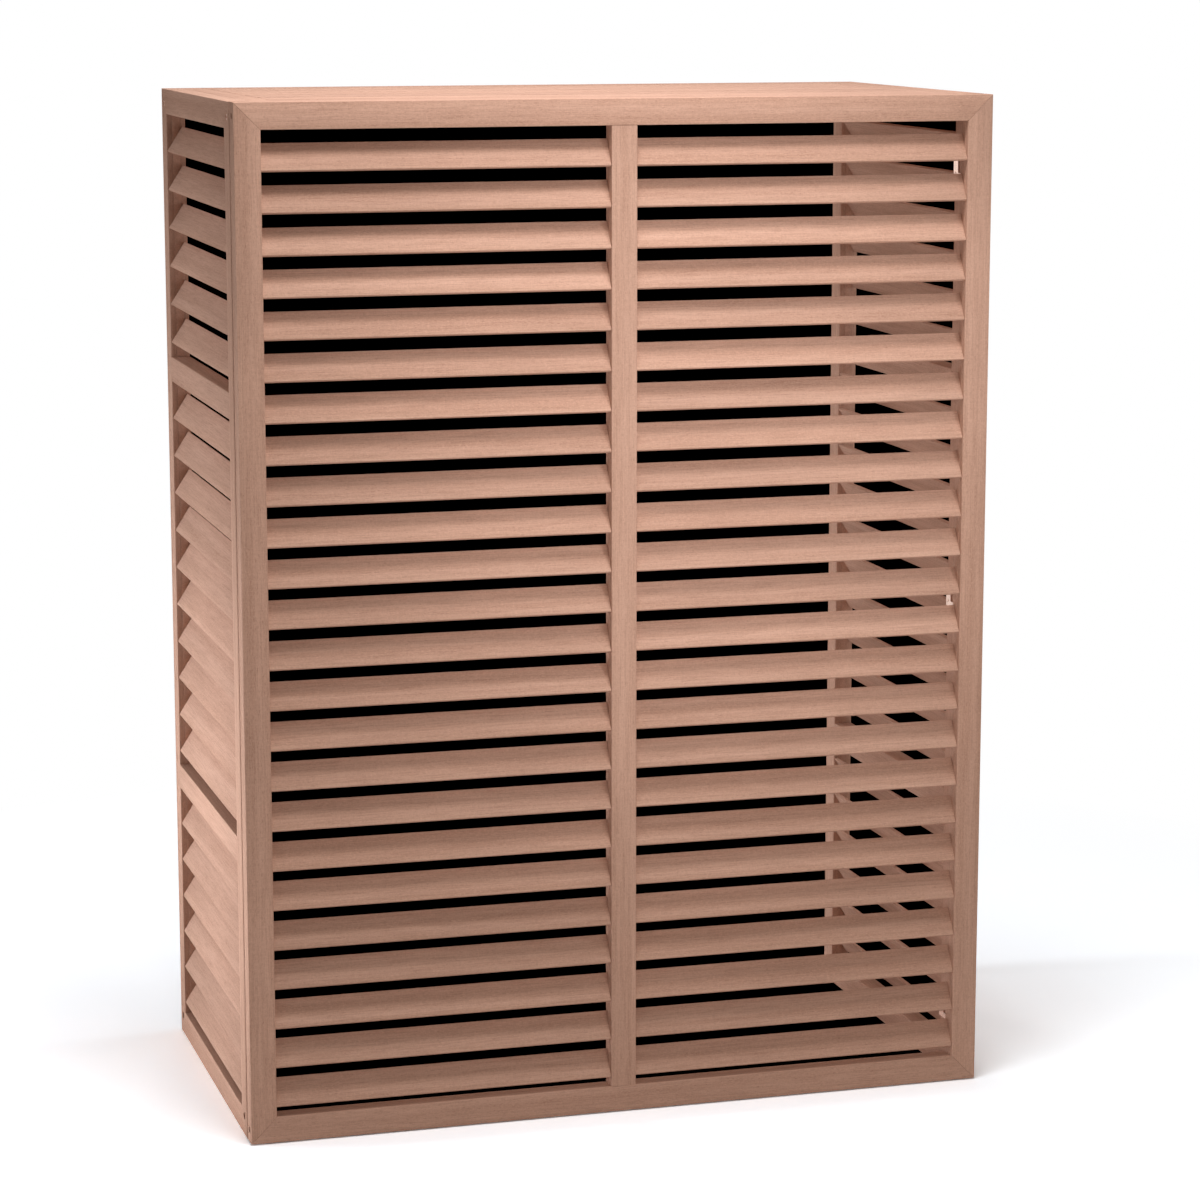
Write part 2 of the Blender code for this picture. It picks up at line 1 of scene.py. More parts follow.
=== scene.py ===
"""Louvred timber screen for an outdoor air conditioner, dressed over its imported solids.

Metres, +Z up, the door faces -Y. Every timber bar, slat, hinge leaf, screw and catch is
modelled again with rounded edges in the place of its solid, and rides on the same body.
"""

import functools
import json
import math
import random

import bmesh
import bpy
from bpy.props import FloatProperty, FloatVectorProperty, IntProperty, PointerProperty
from mathutils import Euler, Matrix, Vector


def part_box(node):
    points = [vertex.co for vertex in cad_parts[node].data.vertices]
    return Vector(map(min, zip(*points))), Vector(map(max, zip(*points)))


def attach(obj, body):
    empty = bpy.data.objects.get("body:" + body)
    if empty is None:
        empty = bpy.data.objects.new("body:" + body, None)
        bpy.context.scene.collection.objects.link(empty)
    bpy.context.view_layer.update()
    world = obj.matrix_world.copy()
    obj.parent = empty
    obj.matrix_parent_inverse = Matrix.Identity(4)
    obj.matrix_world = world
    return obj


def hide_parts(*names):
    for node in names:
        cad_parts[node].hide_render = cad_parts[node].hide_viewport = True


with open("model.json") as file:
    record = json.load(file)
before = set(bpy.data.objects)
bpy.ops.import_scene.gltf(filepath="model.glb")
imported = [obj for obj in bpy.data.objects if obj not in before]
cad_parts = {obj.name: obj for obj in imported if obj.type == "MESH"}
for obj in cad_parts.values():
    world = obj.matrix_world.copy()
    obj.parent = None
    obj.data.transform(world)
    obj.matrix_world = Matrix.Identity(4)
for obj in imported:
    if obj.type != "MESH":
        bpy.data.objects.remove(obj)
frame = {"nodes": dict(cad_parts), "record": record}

bl_info = {
    "name": "Air conditioner screen",
    "version": (1, 0, 0),
    "blender": (4, 5, 0),
    "location": "View3D > Sidebar > Screen",
    "description": "Builds a louvred timber screen with a hinged door",
    "category": "Add Mesh",
}

# Bodies that the pieces ride on
SCREEN = "screen"
DOOR = "door"

# Clearance between pieces that touch, and how far a cutter runs past a face
FIT = 0.0003
OVERRUN = 0.004

# Distances below this count as none
TINY = 0.00003

# Depths of the bolts' and mitre screws' heads, and of the holes that the bolts sit in
BOLT_HEAD_DEPTH = 0.003
BOLT_HOLE_DEPTH = 0.004
SCREW_HEAD_DEPTH = 0.0025

# Radius and depth of each step of an empty fixing hole, measured from its mouth
FOOT_HOLE_STEPS = ((0.0055, 0.007), (0.003, 0.035))

# Edges that turn by more than this stay sharp when shaded
SHARP_ANGLE = math.radians(32)

# Axes
X, Y, Z = range(3)

WHITE = (1, 1, 1, 1)


# Kinds of settings


def plain_setting(name, default, description, **options):
    """A setting that holds a number."""
    return FloatProperty(name=name, default=default, description=description, **options)


def length_setting(name, default, description, **limits):
    """A setting that holds a length in metres."""
    return plain_setting(name, default, description, unit="LENGTH", **limits)


def angle_setting(name, degrees, description):
    """A setting that holds an angle."""
    options = {"subtype": "ANGLE", "unit": "ROTATION"}
    return plain_setting(name, math.radians(degrees), description, **options)


def colour_setting(name, default, description):
    """A setting that holds a colour."""
    options = {"min": 0, "max": 1, "subtype": "COLOR"}
    return FloatVectorProperty(name=name, default=default, description=description, **options)


class TimberSettings(bpy.types.PropertyGroup):
    """Sizes and colours of the timber."""

    colour: colour_setting("Colour", (0.470, 0.262, 0.181), "Middle tone of the timber")
    pale: colour_setting("Pale streaks", (0.560, 0.325, 0.231), "Tone of the growth bands")
    pores: colour_setting("Pores", (0.270, 0.128, 0.080), "Tone of the short dark pores")
    roughness: plain_setting("Roughness", 0.62, "Mean roughness of the surface", min=0, max=1)
    arris: length_setting("Arris radius", 0.0008, "Rounding of the bars' long edges", min=0.0002)


class LouvreSettings(bpy.types.PropertyGroup):
    """Sizes of the slats and of the splines that carry them."""

    width: length_setting("Slat width", 0.0435, "Width of a slat across its grain")
    thickness: length_setting("Slat thickness", 0.005, "Thickness of a slat")
    arris: length_setting("Slat arris", 0.0006, "Rounding of the slats' long edges")
    tilt: angle_setting("Tilt", 58, "Angle of a slat above the level, rising inwards")
    tilt_spread: angle_setting("Tilt spread", 0.35, "How far a slat's tilt strays either way")
    pitch: length_setting("Pitch", 0.0587, "Height from one slat to the next")
    start: length_setting("First slat", 0.018, "Height of the lowest slat above the bottom rail")
    rows: IntProperty(
        name="Rows",
        description="Rows of slats, counting the two rows that the cross rails take",
        default=24,
        min=1,
    )
    spline: length_setting("Spline width", 0.012, "Width of the strip that holds the slats' ends")
    groove: length_setting("Groove depth", 0.008, "Depth of the stiles' grooves for the splines")


class HardwareSettings(bpy.types.PropertyGroup):
    """Sizes and colours of the hinges, catches and fasteners."""

    # The zinc colour is warm: partly the plating's own tone, partly a painted reflection of the
    # timber
    zinc: colour_setting("Zinc", (0.74, 0.51, 0.41), "Colour of the plated steel")
    plastic: colour_setting("Plastic", (0.045, 0.040, 0.036), "Colour of the catches' housings")
    barrel_radius: length_setting("Barrel radius", 0.0045, "Outer radius of a hinge barrel")
    pin_radius: length_setting("Pin radius", 0.0022, "Radius of a hinge pin")
    leaf_thickness: length_setting("Leaf thickness", 0.0018, "Thickness of a hinge leaf")
    screw_radius: length_setting("Screw head radius", 0.0034, "Radius of the screws' heads")
    screw_hole_radius: length_setting("Screw hole radius", 0.0046, "Radius of a mitre screw's hole")
    screw_hole_depth: length_setting("Screw hole depth", 0.009, "Depth of a mitre screw's hole")
    screw_sink: length_setting("Screw sink", 0.006, "How deep a mitre screw's head sits")
    bolt_radius: length_setting("Bolt head radius", 0.0050, "Radius of the top bolts' heads")
    foot_hole_height: length_setting("Foot hole height", 0.029, "Height of the feet's empty holes")


class StageSettings(bpy.types.PropertyGroup):
    """Camera, lamps and backdrop."""

    camera_place: FloatVectorProperty(
        name="Camera",
        description="Place of the camera",
        default=(-1.462, -5.163, 1.685),
        subtype="TRANSLATION",
        unit="LENGTH",
    )
    camera_yaw: angle_setting("Camera yaw", 16.287, "Turn of the view to the right of +Y")
    camera_dip: angle_setting("Camera dip", 10.147, "How far the view points below the level")
    camera_lens: plain_setting("Lens", 106.3, "Focal length in millimetres, on a 36 mm sensor")
    daylight: plain_setting("Daylight", 0.22, "Strength of the light from all round", min=0)
    floor_gain: plain_setting("Floor gain", 1.6, "How strongly the lit floor shows", min=0)


def settings(kind):
    """One of the groups of settings: timber, louvres, hardware or stage."""
    return getattr(bpy.context.scene, "screen_" + kind)


# Places read from the frame


@functools.cache
def node_box(node):
    """A node's box, kept once it is read, because every slat asks for all of them."""
    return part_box(node)


def corners(*nodes):
    """Lowest and highest corner of one or more nodes together."""
    boxes = [node_box(node) for node in nodes]
    low = Vector(min(box[0][axis] for box in boxes) for axis in range(3))
    high = Vector(max(box[1][axis] for box in boxes) for axis in range(3))
    return low, high


def middle(*nodes):
    """Middle of one or more nodes' common box."""
    low, high = corners(*nodes)
    return (low + high) / 2


def along(size):
    """The axis that a box is longest in."""
    return max(range(3), key=lambda axis: size[axis])


def axis_vector(axis, length=1):
    """A vector along an axis."""
    vector = Vector((0, 0, 0))
    vector[axis] = length
    return vector


# Node trees


class Graph:
    """A node tree, with short calls to add nodes and join them."""

    def __init__(self, tree):
        self.tree = tree

    def add(self, kind, inputs=None, **options):
        """Adds a node. Each input is a value, or a socket to join to it."""
        node = self.tree.nodes.new(kind)
        for name, value in options.items():
            setattr(node, name, value)
        self.fill(node, inputs or {})
        return node

    def fill(self, node, inputs):
        """Sets several of a node's inputs."""
        for name, value in inputs.items():
            self.set(node.inputs[name], value)

    def set(self, target, value):
        """Joins a socket to the target, or gives it a plain value."""
        if isinstance(value, bpy.types.NodeSocket):
            self.tree.links.new(value, target)
        else:
            target.default_value = value

    def noise(self, vector, stretch, detail, seed):
        """Noise drawn out by a different amount along each axis, as a value round 0.5."""
        shift = seed, seed / 2, seed / 3
        inputs = {"Vector": vector, "Scale": stretch, "Location": shift}
        place = self.add("ShaderNodeMapping", inputs).outputs[0]
        inputs = {"Vector": place, "Scale": 1.0, "Detail": detail, "Roughness": 0.55}
        return self.add("ShaderNodeTexNoise", inputs).outputs["Fac"]

    def span(self, value, low, high, to_low=0.0, to_high=1.0):
        """Maps a value's range onto another, clamped at both ends."""
        labels = "Value", "From Min", "From Max", "To Min", "To Max"
        inputs = dict(zip(labels, (value, low, high, to_low, to_high)))
        return self.add("ShaderNodeMapRange", inputs).outputs[0]

    def sum(self, first, second, kind="ADD"):
        """Two values joined by a sum of the given kind."""
        return self.add("ShaderNodeMath", {0: first, 1: second}, operation=kind).outputs[0]

    def mix(self, share, first, second):
        """Two colours mixed."""
        node = self.add("ShaderNodeMix", {0: share, 6: first, 7: second}, data_type="RGBA")
        return node.outputs[2]

    def blend(self, share, first, second):
        """Two shader nodes mixed."""
        inputs = {"Fac": share, 1: first.outputs[0], 2: second.outputs[0]}
        return self.add("ShaderNodeMixShader", inputs)


def new_group(name, **inputs):
    """An empty shader node group that gives a colour, a roughness and a height.

    Returns its graph, the sockets of what it is given, and those of its result.
    """
    tree = bpy.data.node_groups.new(name, "ShaderNodeTree")
    result = {"Color": "Color", "Roughness": "Float", "Height": "Float"}
    for way, sockets in (("INPUT", inputs), ("OUTPUT", result)):
        for label, kind in sockets.items():
            tree.interface.new_socket(label, in_out=way, socket_type="NodeSocket" + kind)
    graph = Graph(tree)
    return graph, graph.add("NodeGroupInput").outputs, graph.add("NodeGroupOutput").inputs


def build_grain_group():
    """Fine straight-grained timber: bands, fibres, pores and pale flecks, grain along X."""
    tones = dict.fromkeys(("Middle", "Pale", "Pores"), "Color")
    graph, given, result = new_group(
        "timber_grain", Vector="Vector", Board="Float", Roughness="Float", **tones
    )
    jump = graph.add("ShaderNodeCombineXYZ")
    for axis, step in enumerate((7.3, 3.1, 5.7)):
        graph.set(jump.inputs[axis], graph.sum(given["Board"], step, "MULTIPLY"))
    moved = {0: given["Vector"], 1: jump.outputs[0]}
    point = graph.add("ShaderNodeVectorMath", moved, operation="ADD").outputs[0]

    bands = graph.noise(point, stretch=(1.2, 60, 60), detail=3, seed=1.0)
    fibres = graph.noise(point, stretch=(18, 560, 560), detail=4, seed=2.0)
    pores = graph.noise(point, stretch=(170, 1150, 1150), detail=2, seed=3.0)
    flecks = graph.noise(point, stretch=(200, 900, 900), detail=2, seed=4.0)
    clouds = graph.noise(point, stretch=(4, 12, 12), detail=2, seed=5.0)
    planing = graph.noise(point, stretch=(700, 170, 170), detail=2, seed=6.0)

    colour = given["Middle"]
    for texture, low, high, most, tint in (
        (bands, 0.36, 0.66, 1.0, "Pale"),
        (fibres, 0.42, 0.74, 0.42, "Pores"),
        (flecks, 0.50, 0.68, 0.70, "Pale"),
        (pores, 0.56, 0.70, 0.42, "Pores"),
    ):
        share = graph.span(texture, low, high, to_high=most)
        colour = graph.mix(share, colour, given[tint])
    pore_share = share

    tone = graph.span(given["Board"], 0, 1, to_low=0.94, to_high=1.06)
    for texture, low, high in ((clouds, 0.3, 0.7), (planing, 0.35, 0.65)):
        change = graph.span(texture, low, high, to_low=0.96, to_high=1.04)
        tone = graph.sum(tone, change, "MULTIPLY")
    shade = graph.add("ShaderNodeVectorMath", {0: colour, "Scale": tone}, operation="SCALE")
    graph.set(result["Color"], shade.outputs[0])

    change = graph.span(fibres, 0.3, 0.7, to_low=-0.06, to_high=0.08)
    graph.set(result["Roughness"], graph.sum(given["Roughness"], change))
    dips = graph.sum(pore_share, -0.6, "MULTIPLY")
    graph.set(result["Height"], graph.sum(graph.sum(fibres, 0.35, "MULTIPLY"), dips))
    return graph.tree


def build_mottle_group():
    """The faint unevenness of plated or moulded surfaces."""
    graph, given, result = new_group(
        "surface_mottle", Vector="Vector", Base="Color", Worn="Color", Roughness="Float"
    )
    patches = graph.noise(given["Vector"], stretch=(160, 160, 160), detail=3, seed=1.5)
    specks = graph.noise(given["Vector"], stretch=(1400, 1400, 1400), detail=2, seed=2.5)
    share = graph.span(patches, 0.45, 0.75, to_high=0.6)
    graph.set(result["Color"], graph.mix(share, given["Base"], given["Worn"]))
    change = graph.span(specks, 0.3, 0.7, to_low=-0.07, to_high=0.10)
    graph.set(result["Roughness"], graph.sum(given["Roughness"], change))
    graph.set(result["Height"], specks)
    return graph.tree


def shared_group(name):
    """One of the node groups, built the first time that it is asked for."""
    builders = {"timber_grain": build_grain_group, "surface_mottle": build_mottle_group}
    return bpy.data.node_groups.get(name) or builders[name]()


def finish_material(name, group, inputs, bump, metallic, sheen):
    """A Principled material whose detail comes from a group. Made once for each name."""
    if name in bpy.data.materials:
        return bpy.data.materials[name]
    material = bpy.data.materials.new(name)
    material.use_nodes = True
    graph = Graph(material.node_tree)
    shader = graph.tree.nodes["Principled BSDF"]
    detail = graph.add("ShaderNodeGroup", node_tree=shared_group(group))
    graph.fill(detail, inputs(graph))
    height = {"Height": detail.outputs["Height"], "Distance": bump, "Strength": 1.0}
    graph.fill(shader, {
        "Base Color": detail.outputs["Color"],
        "Roughness": detail.outputs["Roughness"],
        "Normal": graph.add("ShaderNodeBump", height).outputs[0],
        "Metallic": metallic,
        "Specular IOR Level": sheen,
    })
    return material


def timber_material(axis):
    """Timber whose grain runs along an axis."""
    name = "timber_along_" + "xyz"[axis]
    timber = settings("timber")
    turns = {X: (0, 0, 0), Y: (0, 0, -math.pi / 2), Z: (0, math.pi / 2, 0)}

    def inputs(graph):
        coordinates = graph.add("ShaderNodeTexCoord").outputs["Object"]
        turned = graph.add("ShaderNodeMapping", {"Vector": coordinates, "Rotation": turns[axis]})
        board = graph.add("ShaderNodeAttribute", attribute_name="board")
        return {
            "Vector": turned.outputs[0],
            "Board": board.outputs["Fac"],
            "Middle": (*timber.colour, 1),
            "Pale": (*timber.pale, 1),
            "Pores": (*timber.pores, 1),
            "Roughness": timber.roughness,
        }

    return finish_material(name, "timber_grain", inputs, bump=0.00025, metallic=0.0, sheen=0.0)


def hard_material(name, base, worn, roughness, metallic):
    """Metal or plastic with a faint mottle."""

    def inputs(graph):
        return {
            "Vector": graph.add("ShaderNodeTexCoord").outputs["Object"],
            "Base": (*base, 1),
            "Worn": (*worn, 1),
            "Roughness": roughness,
        }

    return finish_material(name, "surface_mottle", inputs, 0.00002, metallic, sheen=0.5)


def zinc_material():
    """Bright zinc plating, tinted warm: partly the plating's own tone, partly a painted reflection
    of the timber.
    """
    zinc = Vector(settings("hardware").zinc)
    return hard_material("zinc_plating_and_painted_reflection", zinc, zinc * 0.82, roughness=0.30, metallic=1.0)


def plastic_material():
    """Dark moulded plastic."""
    plastic = Vector(settings("hardware").plastic)
    return hard_material("moulded_plastic", plastic, plastic * 1.5, roughness=0.48, metallic=0.0)


# Modelling


def link_object(name, data):
    """Puts a new object that holds the given data into the scene."""
    made = bpy.data.objects.new(name, data)
    bpy.context.scene.collection.objects.link(made)
    return made


def mesh_object(name, bm, *materials):
    """Turns a bmesh into an object of the scene."""
    mesh = bpy.data.meshes.new(name)
    bm.to_mesh(mesh)
    bm.free()
    for material in materials:
        mesh.materials.append(material)
    return link_object(name, mesh)


def new_piece(name, bm, body, material, nodes=()):
    """Turns a bmesh into a piece that rides on a body and stands for its CAD nodes."""
    piece = mesh_object(name, bm, material)
    mesh = piece.data
    if "board" not in mesh.attributes:
        board = mesh.attributes.new("board", "FLOAT", "POINT")
        board.data.foreach_set("value", [random.Random(name).random()] * len(mesh.vertices))
    mesh.shade_smooth()
    mesh.set_sharp_from_angle(angle=SHARP_ANGLE)
    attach(piece, body)
    if nodes:
        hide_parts(*nodes)
    return piece


def add_box(bm, low, high):
    """Adds a plain box between two corners and returns its vertices."""
    place = Matrix.Translation((low + high) / 2) @ Matrix.Diagonal((*(high - low), 1))
    return bmesh.ops.create_cube(bm, size=1, matrix=place)["verts"]


def round_edges(bm, edges, radius):
    """Rounds edges with three segments."""
    bmesh.ops.bevel(
        bm,
        geom=edges,
        offset=radius,
        offset_type="OFFSET",
        segments=3,
        profile=0.5,
        affect="EDGES",
        material=-1,
    )


def add_bar(bm, low, high, arris):
    """Adds a bar between two corners, with its long edges rounded. Returns its vertices."""
    before = set(bm.verts)
    size = high - low
    axis = along(size)
    edges = []
    for vertex in add_box(bm, low, high):
        for edge in vertex.link_edges:
            run = edge.verts[0].co - edge.verts[1].co
            if abs(run[axis]) > size[axis] / 2 and edge not in edges:
                edges.append(edge)
    round_edges(bm, edges, arris)
    return [vertex for vertex in bm.verts if vertex not in before]


def add_rod(bm, base, direction, length, radius, end_radius=None, sides=32):
    """Adds a round rod, or a cone where its end radius differs, from base along direction."""
    turn = axis_vector(Z).rotation_difference(direction).to_matrix().to_4x4()
    place = Matrix.Translation(base + direction * (length / 2)) @ turn
    bmesh.ops.create_cone(
        bm,
        cap_ends=True,
        segments=sides,
        radius1=radius,
        radius2=radius if end_radius is None else end_radius,
        depth=length,
        matrix=place,
    )


def carve(bm, cutter, operation="DIFFERENCE"):
    """Takes a cutter's shapes out of a bmesh, or joins them to it, and returns a new one."""
    carved, carver = mesh_object("carved", bm), mesh_object("carver", cutter)
    modifier = carved.modifiers.new("carve", "BOOLEAN")
    modifier.operation = operation
    modifier.solver = "EXACT"
    modifier.object = carver
    shape = carved.evaluated_get(bpy.context.evaluated_depsgraph_get())
    left = bmesh.new()
    left.from_mesh(shape.to_mesh())
    shape.to_mesh_clear()
    for thing in (carved, carver):
        mesh = thing.data
        bpy.data.objects.remove(thing)
        bpy.data.meshes.remove(mesh)
    return left


def bore(bm, *rod, **form):
    """Takes a rod, given as for add_rod, out of a bmesh and returns a new one."""
    cutter = bmesh.new()
    add_rod(cutter, *rod, **form)
    return carve(bm, cutter)


def mitre(bm, node, group):
    """Cuts both ends of a bar along the diagonals of its frame's corners."""
    low, high = corners(node)
    frame_low, frame_high = corners(*group)
    run = along(high - low)
    flat = min(range(3), key=lambda axis: frame_high[axis] - frame_low[axis])
    across = 3 - run - flat
    at_low = low[across] - frame_low[across] < frame_high[across] - high[across]
    for end, inwards in ((frame_low, 1), (frame_high, -1)):
        corner = end.copy()
        corner[across] = (frame_low if at_low else frame_high)[across]
        beyond = axis_vector(run, -inwards) + axis_vector(across, 1 if at_low else -1)
        beyond.normalize()
        bmesh.ops.bisect_plane(
            bm,
            geom=bm.verts[:] + bm.edges[:] + bm.faces[:],
            plane_co=corner - beyond * (FIT / 2),
            plane_no=beyond,
            clear_outer=True,
        )
        bmesh.ops.holes_fill(bm, edges=[edge for edge in bm.edges if edge.is_boundary])
    bmesh.ops.recalc_face_normals(bm, faces=bm.faces[:])


def frame_bar(node, body, group=(), grooves=(), holes=()):
    """A bar of a frame: mitred in its group, grooved for splines and drilled."""
    low, high = corners(node)
    bm = bmesh.new()
    add_bar(bm, low, high, settings("timber").arris)
    if group:
        mitre(bm, node, group)
    if grooves:
        cutter = bmesh.new()
        for groove in grooves:
            add_box(cutter, *groove)
        bm = carve(bm, cutter)
    for mouth, driven, steps in holes:
        near = all(low[axis] - OVERRUN < mouth[axis] < high[axis] + OVERRUN for axis in range(3))
        for radius, depth in steps if near else ():
            bm = bore(bm, mouth - driven * OVERRUN, driven, depth + OVERRUN, radius)
    new_piece(node + "_timber", bm, body, timber_material(along(high - low)), [node])


# Louvres


def louvre_axes(node):
    """The axis a louvre group runs along, the one it is thin in, and the way inwards."""
    low, high = corners(node)
    run = X if high.x - low.x > high.y - low.y else Y
    thin = 1 - run
    inwards = 1 if middle(node)[thin] < middle(*frame["nodes"])[thin] else -1
    return run, thin, inwards


def spline_boxes(node, clearance):
    """The two splines of a louvre group, or their grooves where the clearance is more."""
    louvres = settings("louvres")
    low, high = corners(node)
    run, thin, _ = louvre_axes(node)
    centre = middle(node)[thin]
    depth = louvres.groove + FIT + clearance
    half = louvres.spline / 2 - FIT + clearance
    boxes = []
    for start in (low[run] - clearance, high[run] + clearance - depth):
        box_low, box_high = low.copy(), high.copy()
        box_low[run], box_high[run] = start, start + depth
        box_low[thin], box_high[thin] = centre - half, centre + half
        box_low.z -= clearance
        box_high.z += clearance
        boxes.append((box_low, box_high))
    return boxes


def slat_rows(node):
    """Heights of the lower outer corners of a louvre group's slats."""
    louvres = settings("louvres")
    low, high = corners(node)
    first = corners("left_bottom_rail")[1].z + louvres.start
    heights = [first + row * louvres.pitch for row in range(louvres.rows)]
    rise = louvres.width * math.sin(louvres.tilt)
    return [height for height in heights if low.z < height and height + rise < high.z]


def add_slat(bm, node, tilt, height):
    """Adds a slat of a bay, its lower outer corner at a height. Returns its vertices."""
    louvres = settings("louvres")
    low, high = corners(node)
    run, thin, inwards = louvre_axes(node)
    reach = louvres.width * math.cos(louvres.tilt) + louvres.thickness * math.sin(louvres.tilt)
    slat_low, slat_high = axis_vector(Z, -louvres.thickness), axis_vector(thin, louvres.width)
    slat_low[run], slat_high[run] = low[run] + louvres.groove, high[run] - louvres.groove
    vertices = add_bar(bm, slat_low, slat_high, louvres.arris)
    turn = Matrix.Rotation(tilt, 3, axis_vector(run, 1 if run == X else -1))
    bmesh.ops.rotate(bm, cent=(0, 0, 0), matrix=turn, verts=vertices)
    if inwards < 0:
        flip = Matrix.Identity(3)
        flip[thin][thin] = -1
        bmesh.ops.transform(bm, matrix=flip.to_4x4(), verts=vertices)
        faces = dict.fromkeys(face for vertex in vertices for face in vertex.link_faces)
        bmesh.ops.reverse_faces(bm, faces=list(faces))
    place = axis_vector(Z, height)
    place[thin] = middle(node)[thin] - inwards * reach / 2
    bmesh.ops.translate(bm, vec=place, verts=vertices)
    return vertices


def build_louvres(node, body):
    """The slats of one bay and the splines that carry them, each slat a little different."""
    louvres = settings("louvres")
    chance = random.Random(node)
    bm = bmesh.new()
    board = bm.verts.layers.float.new("board")
    for spline in spline_boxes(node, 0):
        tone = chance.random()
        for vertex in add_bar(bm, *spline, FIT):
            vertex[board] = tone
    for height in slat_rows(node):
        tone = chance.random()
        tilt = louvres.tilt + chance.uniform(-louvres.tilt_spread, louvres.tilt_spread)
        height += chance.uniform(-FIT, FIT)
        for vertex in add_slat(bm, node, tilt, height):
            vertex[board] = tone
    material = timber_material(louvre_axes(node)[0])
    new_piece(node + "_timber", bm, body, material, [node])


# Screws and bolts


def recessed_head(radius, depth, recess):
    """A round head facing up, its top at zero, with a cross or a hexagon sunk in it."""
    hexagon_radius, hexagon_depth = radius * 0.52, depth * 0.7
    arm_length, arm_width = radius * 1.15, radius * 0.27
    point_radius, mouth_radius, point_depth = radius * 0.2, radius * 0.4, depth * 0.6
    up = axis_vector(Z)
    bm = bmesh.new()
    add_rod(bm, up * -depth, up, depth, radius, sides=40)
    rim = [edge for edge in bm.edges if all(abs(vertex.co.z) < TINY for vertex in edge.verts)]
    round_edges(bm, rim, radius * 0.12)
    if recess == "hexagon":
        return bore(bm, up * -hexagon_depth, up, depth, hexagon_radius, sides=6)
    for size in ((arm_length, arm_width), (arm_width, arm_length)):
        arm = bmesh.new()
        bmesh.ops.create_cube(arm, size=1, matrix=Matrix.Diagonal((*size, depth, 1)))
        bm = carve(bm, arm)
    return bore(bm, up * -point_depth, up, depth, point_radius, mouth_radius)


def add_copy(bm, template, point, direction, spin=0.0):
    """Adds a copy of a template that faces up, turned to face along direction at point."""
    mesh = bpy.data.meshes.new("copy")
    template.to_mesh(mesh)
    before = set(bm.verts)
    bm.from_mesh(mesh)
    bpy.data.meshes.remove(mesh)
    vertices = [vertex for vertex in bm.verts if vertex not in before]
    turn = axis_vector(Z).rotation_difference(direction).to_matrix()
    matrix = Matrix.Translation(point) @ (turn @ Matrix.Rotation(spin, 3, "Z")).to_4x4()
    bmesh.ops.transform(bm, matrix=matrix, verts=vertices)


def fastener_line(node):
    """Where a screw or bolt's head is, and the way it is driven, read from its solid."""
    low, high = corners(node)
    run = along(high - low)
    head = middle(node)
    from_low = head[run] < 0
    head[run] = low[run] if from_low else high[run]
    return head, axis_vector(run, 1 if from_low else -1)


def build_fastener(node, body, radius, head_depth, recess):
    """A bolt or screw with a recessed head and a shank, in the place of its solid."""
    head, driven = fastener_line(node)
    low, high = corners(node)
    shank_length = max(high - low) - head_depth
    bm = bmesh.new()
    template = recessed_head(radius, head_depth, recess)
    add_copy(bm, template, head, -driven, random.Random(node).uniform(0, math.pi))
    template.free()
    add_rod(bm, head + driven * head_depth, driven, shank_length, radius / 2)
    new_piece(node + "_steel", bm, body, zinc_material(), [node])


def build_screw_heads(name, body, places, radius):
    """Countersunk screws seated in a plate, one piece for each plate."""
    head_depth, shank_start, shank_length = radius * 0.55, radius * 0.5, radius * 3
    template = recessed_head(radius, head_depth, "cross")
    bm = bmesh.new()
    chance = random.Random(name)
    for point, facing in places:
        add_copy(bm, template, point - facing * FIT / 2, facing, chance.uniform(0, math.pi))
        add_rod(bm, point - facing * shank_start, -facing, shank_length, radius / 2)
    template.free()
    new_piece(name, bm, body, zinc_material())


# Hinges


def hinge_axis():
    """The pin's line, in x and y."""
    joint = next(iter(frame["record"]["behaviour"]["joints"]))
    return joint["pos_m"][X], joint["pos_m"][Y]


def add_knuckle(bm, low, high):
    """Adds a knuckle round the pin between two heights, as a ring of edges spun about it."""
    hardware = settings("hardware")
    axis_x, axis_y = hinge_axis()
    inner = axis_x + hardware.pin_radius + FIT
    outer = axis_x + hardware.barrel_radius
    ring = [(inner, low), (outer, low), (outer, high), (inner, high)]
    corner = [bm.verts.new((x, axis_y, z)) for x, z in ring]
    sides = [bm.edges.new((corner[number - 1], corner[number])) for number in range(4)]
    bmesh.ops.spin(
        bm,
        geom=corner + sides,
        cent=(axis_x, axis_y, 0),
        axis=(0, 0, 1),
        angle=2 * math.pi,
        steps=40,
        use_merge=True,
        use_duplicate=False,
    )
    bmesh.ops.recalc_face_normals(bm, faces=bm.faces[:])


def draw_on(bm, region, step):
    """Extrudes a face with its edges and corners by a step and returns the new end."""
    made = bmesh.ops.extrude_face_region(bm, geom=region)["geom"]
    vertices = [item for item in made if isinstance(item, bmesh.types.BMVert)]
    bmesh.ops.translate(bm, vec=step, verts=vertices)
    return made


